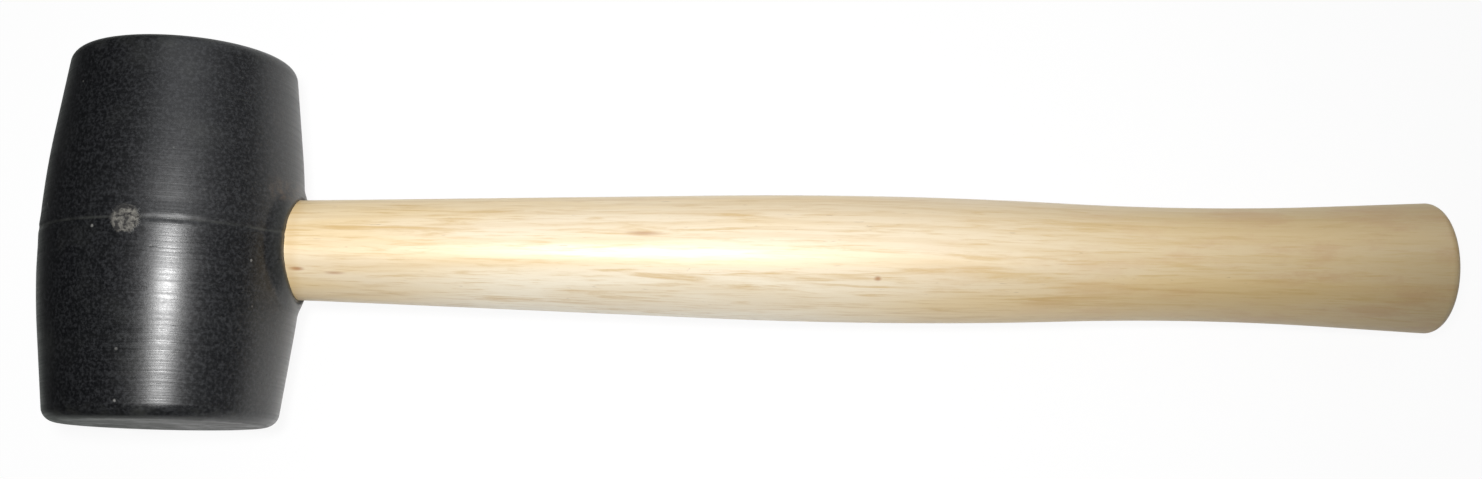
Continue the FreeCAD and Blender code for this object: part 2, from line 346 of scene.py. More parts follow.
def gateScar(tree, seed):
    ball = addNode(tree, "GeometryNodeMeshIcoSphere", {"Radius": 1.0, "Subdivisions": 6})
    place = addNode(tree, "GeometryNodeInputPosition").outputs[0]
    u, v, w = split(tree, place)
    flat = shifted(tree, scaled(tree, place, (1, 1, 0)), seed)
    ragged = ramp(tree, noise(tree, flat, 1.6, 5, 0.6), 0.3, 0.7, *gate["ragged"], smooth=False)
    across = product(tree, u, ragged, gate["radius"])
    along = product(tree, v, ragged, gate["radius"])
    coarse = noise(tree, flat, 2.6, 3, 0.6)
    torn = noise(tree, flat, 7.0, 8, 0.75, 0.6)
    shreds = calc(tree, "ABSOLUTE", calc(tree, "SUBTRACT", torn, 0.5))
    rough = calc(tree, "ADD", product(tree, coarse, 0.9), product(tree, shreds, 3.0))
    top = product(tree, ramp(tree, w, 0.0, 0.35), calc(tree, "MINIMUM", rough, 1.0), gate["proud"])
    root = product(tree, ramp(tree, w, 0.0, -1.0), gate["root"])
    depth = calc(tree, "SUBTRACT", calc(tree, "SUBTRACT", top, root), gate["sink"])
    turn = calc(tree, "SUBTRACT", gate["turn"], calc(tree, "DIVIDE", across, head["radius"]))
    reach = calc(tree, "ADD", depth, head["radius"])
    x = product(tree, calc(tree, "SINE", turn), reach, -1.0)
    z = product(tree, calc(tree, "COSINE", turn), reach)
    y = calc(tree, "ADD", along, gate["height"])
    return addNode(tree, "GeometryNodeSetPosition", {"Geometry": ball.outputs["Mesh"],
                                                     "Position": join(tree, x, y, z)}).outputs[0]


def headTree():
    tree, given, result = openTree(
        "GeometryNodeTree", "barrelHead",
        [("Outline", "NodeSocketGeometry"), ("Segments", "NodeSocketInt"),
         ("Crowding", "NodeSocketFloat"), ("Eye Radius", "NodeSocketFloat"), ("Eye Drop", "NodeSocketFloat"),
         ("Lip Height", "NodeSocketFloat"), ("Lip Width", "NodeSocketFloat"),
         ("Ridge Wear", "NodeSocketFloat"), ("Seed", "NodeSocketFloat"), ("Material", "NodeSocketMaterial")],
        [("Geometry", "NodeSocketGeometry")])
    turned = addNode(tree, "GeometryNodeGroup", node_tree=lathe)
    for name in ("Outline", "Segments", "Crowding"):
        feed(tree, turned.inputs[name], given[name])
    place = addNode(tree, "GeometryNodeInputPosition").outputs[0]
    x, y, z = split(tree, place)
    fromEye = radial(tree, calc(tree, "ADD", y, given["Eye Drop"]), z)
    past = calc(tree, "SUBTRACT", fromEye, given["Eye Radius"])
    # a soft lip stands up round the handle, highest at its top and bottom, and rolls over onto the wood
    swell = ramp(tree, past, head["lipShoulder"], given["Lip Width"], 1.0, 0.0)
    roll = ramp(tree, past, -0.1 * mm, head["rollWidth"], 1.0, 0.0)
    crest = ramp(tree, calc(tree, "ABSOLUTE", z), 0.0, 12 * mm, head["lipSide"], head["lipTop"])
    entrySide = ramp(tree, x, 0.0, head["sideFade"])
    crownSide = ramp(tree, x, 0.0, -head["sideFade"])
    lift = calc(tree, "SUBTRACT", product(tree, swell, crest, given["Lip Height"]),
                product(tree, roll, head["rollDepth"]))
    farEdge = ramp(tree, past, -0.2 * mm, head["crownRollWidth"], 1.0, 0.0)
    inward = product(tree, farEdge, head["crownRollDepth"])
    push = calc(tree, "SUBTRACT", product(tree, lift, entrySide), product(tree, inward, crownSide))
    # the parting line is worn down here and there
    onRidge = ramp(tree, calc(tree, "ABSOLUTE", y), 0.3 * mm, 1.2 * mm, 1.0, 0.0)
    around = shifted(tree, scaled(tree, place, (240, 0, 240)), given["Seed"])
    patchy = ramp(tree, noise(tree, around, 1.0, 4, 0.6), 0.42, 0.62)
    push = calc(tree, "SUBTRACT", push, product(tree, onRidge, patchy, given["Ridge Wear"]))
    flat = calc(tree, "MAXIMUM", radial(tree, x, z), 0.1 * mm)
    step = join(tree, product(tree, calc(tree, "DIVIDE", x, flat), push), 0.0,
                product(tree, calc(tree, "DIVIDE", z, flat), push))
    lipped = addNode(tree, "GeometryNodeSetPosition", {"Geometry": turned.outputs[0], "Offset": step})
    joined = addNode(tree, "GeometryNodeMeshBoolean", operation="UNION", solver="MANIFOLD")
    tree.links.new(lipped.outputs[0], joined.inputs["Mesh 2"])
    tree.links.new(gateScar(tree, given["Seed"]), joined.inputs["Mesh 2"])
    core = addNode(tree, "GeometryNodeMeshCylinder",
                   {"Vertices": 200, "Radius": given["Eye Radius"], "Depth": 100 * mm})
    turnedCore = addNode(tree, "GeometryNodeTransform", {"Geometry": core.outputs["Mesh"],
                                                         "Rotation": (0, math.pi / 2, 0)})
    feed(tree, turnedCore.inputs["Translation"],
         join(tree, 0.0, product(tree, given["Eye Drop"], -1.0), 0.0))
    bored = addNode(tree, "GeometryNodeMeshBoolean", operation="DIFFERENCE", solver="MANIFOLD")
    tree.links.new(joined.outputs["Mesh"], bored.inputs["Mesh 1"])
    tree.links.new(turnedCore.outputs[0], bored.inputs["Mesh 2"])
    endTree(tree, bored.outputs["Mesh"], given["Material"], result)
    return tree


stick = {
    "crownEnd": -28.6 * mm,             # distances along the handle from the head's axis
    "chamfer": 0.8 * mm,
    "neck": (31 * mm, 12.2 * mm),       # (distance, radius)
    "taperEnd": (131 * mm, 15.15 * mm),
    "bellyEnd": (218 * mm, 14.7 * mm),
    "flareStart": (284 * mm, 15.05 * mm),
    "buttEnd": 313.97 * mm,
    "domeRadius": 45 * mm,
    "cornerRadius": 2.5 * mm,
    "raspDepth": 0.6 * mm,              # the crown end stays this far under the barrel's curve
    "rowStep": 1.2 * mm,
    "endRows": 12,
    "cornerSteps": 14,
    "domeSteps": 16,
    "segments": 220,
    "crowding": 0.0,
    "waver": 0.05 * mm,                 # hand-sanded unevenness
    "seed": 0.0,
}


def circleThrough(start, slope, end):
    normal = Vector((-slope, 1)).normalized()
    reach = Vector(end) - Vector(start)
    signed = reach.length_squared / (2 * reach.dot(normal))
    return Vector(start) + normal * signed, signed


def stickOutline():
    neck, taperEnd, bellyEnd, flareStart = (stick[k] for k in ("neck", "taperEnd", "bellyEnd", "flareStart"))
    taperSlope = (taperEnd[1] - neck[1]) / (taperEnd[0] - neck[0])
    belly, bellySigned = circleThrough(taperEnd, taperSlope, bellyEnd)
    joinSlope = -(bellyEnd[0] - belly.x) / (bellyEnd[1] - belly.y)
    waist, waistSigned = circleThrough(bellyEnd, joinSlope, flareStart)
    flareSlope = -(flareStart[0] - waist.x) / (flareStart[1] - waist.y)

    def radiusAt(distance):
        if distance < neck[0]:
            return neck[1]
        if distance < taperEnd[0]:
            return taperEnd[1] + taperSlope * (distance - taperEnd[0])
        if distance < bellyEnd[0]:
            return belly.y + math.sqrt(bellySigned ** 2 - (distance - belly.x) ** 2)
        if distance < flareStart[0]:
            return waist.y - math.sqrt(waistSigned ** 2 - (distance - waist.x) ** 2)
        return flareStart[1] + flareSlope * (distance - flareStart[0])

    # the butt corner touches the flare line and the dome inside
    corner, domeRadius = stick["cornerRadius"], stick["domeRadius"]
    domeCentre = stick["buttEnd"] - domeRadius
    tilt = math.atan(flareSlope)
    low, high = stick["flareStart"][0], stick["buttEnd"]
    for _ in range(60):
        middle = (low + high) / 2
        height = radiusAt(middle) - corner / math.cos(tilt)
        if math.hypot(middle - domeCentre, height) < domeRadius - corner:
            low = middle
        else:
            high = middle
    cornerHeight = radiusAt(low) - corner / math.cos(tilt)
    meet = math.atan2(cornerHeight, low - domeCentre)
    flareEnd = low - corner * math.sin(tilt)

    points = [(0.0, stick["crownEnd"])]
    flatRadius = neck[1] - stick["chamfer"]
    points += [(flatRadius * k / stick["endRows"], stick["crownEnd"]) for k in range(1, stick["endRows"] + 1)]
    points.append((neck[1], stick["crownEnd"] + stick["chamfer"]))
    distance = points[-1][1] + stick["rowStep"]
    while distance < flareEnd - 0.4 * stick["rowStep"]:
        points.append((radiusAt(distance), distance))
        distance += stick["rowStep"]
    squareOn = math.pi / 2 + tilt
    for i in range(stick["cornerSteps"] + 1):
        a = squareOn + (meet - squareOn) * i / stick["cornerSteps"]
        points.append((cornerHeight + corner * math.sin(a), low + corner * math.cos(a)))
    for i in range(1, stick["domeSteps"] + 1):
        a = meet * (1 - i / stick["domeSteps"])
        points.append((domeRadius * math.sin(a), domeCentre + domeRadius * math.cos(a)))
    points[-1] = (0.0, stick["buttEnd"])
    return points


def stickTree():
    tree, given, result = openTree(
        "GeometryNodeTree", "turnedStick",
        [("Outline", "NodeSocketGeometry"), ("Segments", "NodeSocketInt"),
         ("Crowding", "NodeSocketFloat"), ("Eye Drop", "NodeSocketFloat"), ("Waver", "NodeSocketFloat"),
         ("Slit Length", "NodeSocketFloat"), ("Slit Width", "NodeSocketFloat"),
         ("Slit Mouth", "NodeSocketFloat"), ("Slit End", "NodeSocketFloat"),
         ("Slit Start", "NodeSocketFloat"), ("Rasp Radius", "NodeSocketFloat"),
         ("Seed", "NodeSocketFloat"), ("Material", "NodeSocketMaterial")],
        [("Geometry", "NodeSocketGeometry")])
    turned = addNode(tree, "GeometryNodeGroup", node_tree=lathe)
    for name in ("Outline", "Segments", "Crowding"):
        feed(tree, turned.inputs[name], given[name])
    place = addNode(tree, "GeometryNodeInputPosition").outputs[0]
    x, y, z = split(tree, place)
    # long low waves left by turning and sanding, none in the eye
    wave = noise(tree, shifted(tree, scaled(tree, place, (60, 28, 60)), given["Seed"]), 1.0, 3)
    outsideEye = ramp(tree, y, 32 * mm, 45 * mm)
    depth = product(tree, calc(tree, "SUBTRACT", wave, 1.0), given["Waver"], outsideEye)
    flat = calc(tree, "MAXIMUM", radial(tree, x, z), 0.1 * mm)
    step = join(tree, product(tree, calc(tree, "DIVIDE", x, flat), depth), 0.0,
                product(tree, calc(tree, "DIVIDE", z, flat), depth))
    worn = addNode(tree, "GeometryNodeSetPosition", {"Geometry": turned.outputs[0], "Offset": step})
    # the lathe turns about Y, and the stick lies along X
    laid = addNode(tree, "GeometryNodeTransform",
                   {"Geometry": worn.outputs[0], "Rotation": (0, 0, -math.pi / 2)})
    feed(tree, laid.inputs["Translation"], join(tree, 0.0, product(tree, given["Eye Drop"], -1.0), 0.0))
    # the crown end is rasped off just below the barrel's curve
    x, y, z = split(tree, addNode(tree, "GeometryNodeInputPosition").outputs[0])
    raspSquared = product(tree, given["Rasp Radius"], given["Rasp Radius"])
    curve = calc(tree, "SQRT", calc(tree, "SUBTRACT", raspSquared, product(tree, z, z)))
    trimmed = calc(tree, "MAXIMUM", x, product(tree, curve, -1.0))
    rasped = addNode(tree, "GeometryNodeSetPosition",
                     {"Geometry": laid.outputs[0], "Position": join(tree, trimmed, y, z)})
    # tapering slit for the wedge
    block = addNode(tree, "GeometryNodeMeshCube", {"Size": (1, 1, 1)})
    u, v, w = split(tree, addNode(tree, "GeometryNodeInputPosition").outputs[0])
    thick = ramp(tree, u, -0.5, 0.5, given["Slit Mouth"], given["Slit End"], smooth=False)
    shaped = join(tree, calc(tree, "ADD", product(tree, calc(tree, "ADD", u, 0.5), given["Slit Length"]),
                             given["Slit Start"]),
                  calc(tree, "SUBTRACT", product(tree, v, given["Slit Width"]), given["Eye Drop"]),
                  product(tree, w, thick))
    slit = addNode(tree, "GeometryNodeSetPosition", {"Geometry": block.outputs["Mesh"], "Position": shaped})
    cut = addNode(tree, "GeometryNodeMeshBoolean", operation="DIFFERENCE", solver="MANIFOLD")
    tree.links.new(rasped.outputs[0], cut.inputs["Mesh 1"])
    tree.links.new(slit.outputs[0], cut.inputs["Mesh 2"])
    endTree(tree, cut.outputs["Mesh"], given["Material"], result)
    return tree


wedge = {
    "length": 22 * mm,
    "width": 17 * mm,
    "mouth": 3.2 * mm,                  # thick end, at the crown
    "tip": 1.0 * mm,
    "proud": 0.4 * mm,                  # how far it stands out of the wood
    "bevel": 0.28 * mm,
    "gap": 0.12 * mm,                   # open slit round it
    "dent": 0.25 * mm,
    "struckDepth": 1.2 * mm,            # how far the hammer dents reach along it
    "cuts": 22,
    "seed": 0.0,
}


def wedgeBlank():
    shape = bmesh.new()
    bmesh.ops.create_cube(shape, size=1.0)
    for corner in shape.verts:
        u, v, w = corner.co
        thick = wedge["mouth"] + (wedge["tip"] - wedge["mouth"]) * (u + 0.5)
        corner.co = ((u + 0.5) * wedge["length"] + stick["crownEnd"] - wedge["proud"],
                     v * wedge["width"] - eyeDrop, w * thick)
    bmesh.ops.bevel(shape, geom=shape.edges[:], offset=wedge["bevel"], segments=3, profile=0.6,
                    affect="EDGES")
    longEdges = [edge for edge in shape.edges if edge.calc_length() > 2.5 * mm]
    bmesh.ops.subdivide_edges(shape, edges=longEdges, cuts=wedge["cuts"], use_grid_fill=True)
    bmesh.ops.triangulate(shape, faces=shape.faces[:])
    mesh = bpy.data.meshes.new("steelWedge")
    shape.to_mesh(mesh)
    shape.free()
    return newObject("steelWedge", mesh)


def wedgeTree():
    tree, given, result = openTree(
        "GeometryNodeTree", "hammeredWedge",
        [("Blank", "NodeSocketGeometry"), ("Dent", "NodeSocketFloat"), ("Crown", "NodeSocketFloat"),
         ("Struck Depth", "NodeSocketFloat"), ("Seed", "NodeSocketFloat"),
         ("Material", "NodeSocketMaterial")],
        [("Geometry", "NodeSocketGeometry")])
    place = addNode(tree, "GeometryNodeInputPosition").outputs[0]
    normal = addNode(tree, "GeometryNodeInputNormal").outputs[0]
    x = split(tree, place)[0]
    # shallow hammer dents, deepest on the driven end
    struckEnd = calc(tree, "ADD", given["Crown"], given["Struck Depth"])
    driven = ramp(tree, x, given["Crown"], struckEnd, 1.0, 0.12)
    dents = noise(tree, shifted(tree, scaled(tree, place, (300, 420, 700)), given["Seed"]), 1.0, 4, 0.6)
    depth = product(tree, calc(tree, "SUBTRACT", dents, 0.85), given["Dent"], driven)
    inward = addNode(tree, "ShaderNodeVectorMath", operation="SCALE")
    feed(tree, inward.inputs[0], normal)
    feed(tree, inward.inputs["Scale"], depth)
    struck = addNode(tree, "GeometryNodeSetPosition",
                     {"Geometry": given["Blank"], "Offset": inward.outputs[0]})
    endTree(tree, struck.outputs[0], given["Material"], result)
    return tree


# shader groups used by more than one material

def laidGroup():
    # object coordinates brought back to the head's centre, with X along the handle
    tree, given, result = openTree("ShaderNodeTree", "laidSpace", [("Drop", "NodeSocketFloat")],
                                   [("Place", "NodeSocketVector"), ("Facing", "NodeSocketVector")])
    coordinates = addNode(tree, "ShaderNodeTexCoord").outputs
    centred = addNode(tree, "ShaderNodeMapping",
                      {"Vector": coordinates["Object"], "Location": -headCentre})
    back = addNode(tree, "ShaderNodeMapping",
                   {"Vector": centred.outputs[0], "Rotation": (0, -lieAngle, 0)})
    lowered = addNode(tree, "ShaderNodeVectorMath", operation="ADD")
    feed(tree, lowered.inputs[0], back.outputs[0])
    feed(tree, lowered.inputs[1], join(tree, 0.0, given["Drop"], 0.0))
    facing = addNode(tree, "ShaderNodeMapping",
                     {"Vector": coordinates["Normal"], "Rotation": (0, -lieAngle, 0)})
    feed(tree, result["Place"], lowered.outputs[0])
    feed(tree, result["Facing"], facing.outputs[0])
    return tree


def stretchedGroup():
    # noise drawn out along one direction: grain, brushing, mould lines
    tree, given, result = openTree(
        "ShaderNodeTree", "stretchedNoise",
        [("Place", "NodeSocketVector"), ("Frequency", "NodeSocketVector"),
         ("Detail", "NodeSocketFloat"), ("Roughness", "NodeSocketFloat"), ("Warp", "NodeSocketFloat")],
        [("Value", "NodeSocketFloat")])
    pattern = noise(tree, scaled(tree, given["Place"], given["Frequency"]), 1.0, given["Detail"],
                    given["Roughness"], given["Warp"])
    feed(tree, result["Value"], pattern)
    return tree


def scuffGroup():
    # sparse short scratches and specks of dust, as a mask and as a height
    tree, given, result = openTree(
        "ShaderNodeTree", "scuffs",
        [("Place", "NodeSocketVector"), ("Frequency", "NodeSocketVector"),
         ("Speck Scale", "NodeSocketFloat"), ("Amount", "NodeSocketFloat")],
        [("Scratch", "NodeSocketFloat"), ("Speck", "NodeSocketFloat"), ("Height", "NodeSocketFloat")])
    lines = noise(tree, scaled(tree, given["Place"], given["Frequency"]), 1.0, 2, 0.5, 0.8)
    level = ramp(tree, given["Amount"], 0.0, 1.0, 0.78, 0.56, smooth=False)
    scratch = ramp(tree, lines, level, calc(tree, "ADD", level, 0.06))
    cells = addNode(tree, "ShaderNodeTexVoronoi",
                    {"Vector": given["Place"], "Scale": given["Speck Scale"]})
    rarity = ramp(tree, given["Amount"], 0.0, 1.0, 1.0, 0.9, smooth=False)
    chosen = ramp(tree, split(tree, cells.outputs["Color"])[0], rarity, 1.0)
    speck = product(tree, ramp(tree, cells.outputs["Distance"], 0.08, 0.2, 1.0, 0.0), chosen)
    feed(tree, result["Scratch"], scratch)
    feed(tree, result["Speck"], speck)
    feed(tree, result["Height"], calc(tree, "SUBTRACT", speck, scratch))
    return tree


laidSpace = laidGroup()
stretchedNoise = stretchedGroup()
scuffs = scuffGroup()


def groupNode(tree, group, inputs):
    node = tree.nodes.new("ShaderNodeGroup")
    node.node_tree = group
    for name, value in inputs.items():
        feed(tree, node.inputs[name], value)
    return node.outputs


def stretched(tree, place, frequency, detail=4.0, roughness=0.55, warp=0.0):
    group = groupNode(tree, stretchedNoise, {"Place": place, "Frequency": frequency, "Detail": detail,
                                             "Roughness": roughness, "Warp": warp})
    return group["Value"]


def wornMarks(tree, place, marks):
    frequency, speckScale, amount = marks
    return groupNode(tree, scuffs, {"Place": place, "Frequency": frequency, "Speck Scale": speckScale,
                                    "Amount": amount})


def openMaterial(name):
    material = bpy.data.materials.new(name)
    material.use_nodes = True
    tree = material.node_tree
    tree.nodes.clear()
    shader = tree.nodes.new("ShaderNodeBsdfPrincipled")
    output = tree.nodes.new("ShaderNodeOutputMaterial")
    tree.links.new(shader.outputs[0], output.inputs["Surface"])
    return material, tree, shader


def bump(tree, height, strength, distance, normal=None):
    node = addNode(tree, "ShaderNodeBump", {"Height": height, "Strength": strength, "Distance": distance})
    if normal is not None:
        tree.links.new(normal, node.inputs["Normal"])
    return node.outputs[0]


rubber = {
    "dark": (0.0040, 0.0043, 0.0050, 1),
    "light": (0.024, 0.025, 0.027, 1),
    # lighter grey rubber for worn bloom, and for the painted light on the lip
    "bloomAndLight": (0.05, 0.052, 0.047, 1),
    "torn": (0.21, 0.20, 0.175, 1),
    "tornDark": (0.022, 0.021, 0.020, 1),
    "dust": (0.22, 0.215, 0.20, 1),
    "brownPatch": (0.10, 0.065, 0.04, 1),
    "mottleScale": 1300,                # noise per metre
    "cloudScale": 60,
    "rimScale": 260,
    "faceScale": 120,
    "tornScale": 1300,
    "lumpScale": 620,
    "brownPatchScale": 500,
    "mouldLines": (16, 1900, 16),       # drawn out round the barrel
    "marks": ((90, 1500, 90), 420, 0.22),   # scratches, specks and how much of both
    "rimWear": 0.45,
    "faceWear": 0.4,
    "seamWear": 0.5,
    # share of painted light on the lip
    "lipPaintedLight": 0.45,
    "roughness": 0.335,
    "upperRougher": 0.07,               # the two mould halves were polished differently
    "specular": 0.58,
}


def rubberMaterial():
    material, tree, shader = openMaterial("mouldedRubber")
    laid = groupNode(tree, laidSpace, {"Drop": 0.0})
    place = laid["Place"]
    x, y, z = split(tree, place)
    mottle = noise(tree, place, rubber["mottleScale"], 5, 0.7)
    cloud = noise(tree, place, rubber["cloudScale"], 4, 0.6)
    mouldLines = stretched(tree, place, rubber["mouldLines"], 4, 0.7)
    worn = wornMarks(tree, place, rubber["marks"])
    base = blendColour(tree, ramp(tree, mottle, 0.42, 0.66), rubber["dark"], rubber["light"])
    base = blendColour(tree, ramp(tree, cloud, 0.5, 0.8, 0.0, 0.3), base, rubber["bloomAndLight"])
    # scuffed rims and striking faces
    reach = calc(tree, "ABSOLUTE", y)
    rim = product(tree, ramp(tree, reach, halfHeight - 4.5 * mm, halfHeight - 1 * mm),
                  ramp(tree, noise(tree, place, rubber["rimScale"], 6, 0.7), 0.42, 0.7))
    face = product(tree, ramp(tree, reach, halfHeight - 0.8 * mm, halfHeight - 0.2 * mm),
                   ramp(tree, noise(tree, place, rubber["faceScale"], 8, 0.7), 0.3, 0.7))
    base = blendColour(tree, product(tree, rim, rubber["rimWear"]), base, rubber["bloomAndLight"])
    base = blendColour(tree, product(tree, face, rubber["faceWear"]), base, rubber["bloomAndLight"])
    base = blendColour(tree, product(tree, worn["Scratch"], 0.35), base, rubber["bloomAndLight"])
    base = blendColour(tree, product(tree, worn["Speck"], 0.8), base, rubber["dust"])
    # rubbed line along the parting line
    broken = ramp(tree, noise(tree, scaled(tree, place, (150, 0, 150)), 1.0, 4, 0.6), 0.38, 0.6, 0.15, 1.0)
    seam = product(tree, ramp(tree, reach, 0.12 * mm, 0.45 * mm, 1.0, 0.0), broken)
    base = blendColour(tree, product(tree, seam, rubber["seamWear"]), base, rubber["bloomAndLight"])
    # painted light: the lip round the handle is painted lighter, lifting the shade on its slope beside the
    # wood
    past = calc(tree, "SUBTRACT", radial(tree, calc(tree, "ADD", y, eyeDrop), z), head["eyeRadius"])
    lip = product(tree, ramp(tree, past, 0.5 * mm, head["lipWidth"], 1.0, 0.0),
                  ramp(tree, x, 20 * mm, 24 * mm))
    base = blendColour(tree, product(tree, lip, rubber["lipPaintedLight"]), base, rubber["bloomAndLight"])
    # torn rubber in the gate scar
    scarPlace = (-head["radius"] * math.sin(gate["turn"]), gate["height"],
                 head["radius"] * math.cos(gate["turn"]))
    offset = addNode(tree, "ShaderNodeVectorMath", operation="DISTANCE")
    feed(tree, offset.inputs[0], place)
    feed(tree, offset.inputs[1], scarPlace)
    tornNoise = noise(tree, place, rubber["tornScale"], 6, 0.75, 0.4)
    lumps = noise(tree, place, rubber["lumpScale"], 3, 0.6, 0.5)
    away = sumOf(tree, offset.outputs["Value"],
                 product(tree, calc(tree, "SUBTRACT", tornNoise, 0.5), 1.4 * mm),
                 product(tree, calc(tree, "SUBTRACT", lumps, 0.5), 3.2 * mm))
    scar = ramp(tree, away, gate["radius"] - 0.6 * mm, gate["radius"] + 0.1 * mm, 1.0, 0.0)
    pale = calc(tree, "MULTIPLY", ramp(tree, lumps, 0.40, 0.58),
                ramp(tree, tornNoise, 0.36, 0.6, 0.45, 1.0))
    tornColour = blendColour(tree, pale, rubber["tornDark"], rubber["torn"])
    base = blendColour(tree, product(tree, scar, 0.92), base, tornColour)
    # a brown patch on the rubber where the lip meets the wood
    brownPatch = product(tree, ramp(tree, x, 25 * mm, 28 * mm), ramp(tree, y, 7 * mm, 9.5 * mm),
                    ramp(tree, y, 11 * mm, 14.5 * mm, 1.0, 0.0),
                    ramp(tree, noise(tree, place, rubber["brownPatchScale"], 4, 0.6), 0.4, 0.65))
    base = blendColour(tree, product(tree, brownPatch, 0.45), base, rubber["brownPatch"])
    feed(tree, shader.inputs["Base Color"], base)
    upperHalf = ramp(tree, y, -0.2 * mm, 0.2 * mm, 0.0, rubber["upperRougher"])
    rough = sumOf(tree, rubber["roughness"], upperHalf,
                  product(tree, calc(tree, "SUBTRACT", mottle, 0.5), 0.18),
                  product(tree, calc(tree, "SUBTRACT", mouldLines, 0.5), 0.3), product(tree, rim, 0.12),
                  product(tree, face, 0.2), product(tree, scar, 0.45), product(tree, worn["Speck"], 0.3))
    feed(tree, shader.inputs["Roughness"], rough)
    fine = bump(tree, mottle, 0.3, 0.05 * mm)
    lines = bump(tree, mouldLines, 0.5, 0.06 * mm, fine)
    marks = bump(tree, worn["Height"], 0.5, 0.04 * mm, lines)
    shreds = bump(tree, product(tree, tornNoise, scar), 0.8, 0.25 * mm, marks)
    feed(tree, shader.inputs["Normal"], shreds)
    shader.inputs["Specular IOR Level"].default_value = rubber["specular"]
    return material


wood = {
    "pale": (0.825, 0.705, 0.52, 1),
    # painted highlight: whiter wood for the handle's lower side
    "paintedLowerLight": (0.90, 0.81, 0.64, 1),
    "cream": (0.80, 0.62, 0.355, 1),
    "tan": (0.60, 0.392, 0.142, 1),
    "brown": (0.20, 0.09, 0.04, 1),
    "dash": (0.40, 0.185, 0.08, 1),
    # browner grip colour, which also carries painted shade towards the butt
    "buttToneAndShade": (0.66, 0.475, 0.200, 1),
    "flushed": (0.60, 0.35, 0.165, 1),  # reddish patches on the grip
    "endGrain": (0.56, 0.40, 0.22, 1),
    "lateWood": (0.33, 0.19, 0.08, 1),
    "band": (7, 85, 85),                # noise per metre along and across the handle
    "streak": (34, 520, 520),
    "brush": (75, 1500, 1500),
    "fibre": (120, 3000, 3000),
    "pore": (230, 2300, 2300),
    "bend": (12, 30, 30),
    "patch": (45, 130, 130),
    "pitScale": 2400,
    "marks": ((260, 900, 900), 300, 0.15),
    "roughness": 0.44,
    "specular": 0.85,
    "finish": 0.3,                      # thin satin lacquer
    "finishRoughness": 0.40,
    "pith": (38 * mm, -27 * mm),        # where the tree's middle lay, across the handle
    "ringSpacing": 3.1 * mm,
}

# small blemishes: distance along, turn from the top, length, width, strength
blemishes = [
    (32, -30, 1.5, 0.45, 0.9),
    (41, -34, 2.2, 0.40, 0.6),
    (114, 12, 4.0, 0.55, 0.6),
    (170, -26, 0.8, 0.6, 0.85),
    (267, -8, 2.2, 0.4, 0.22),
    (284, -3, 1.6, 0.4, 0.25),
]


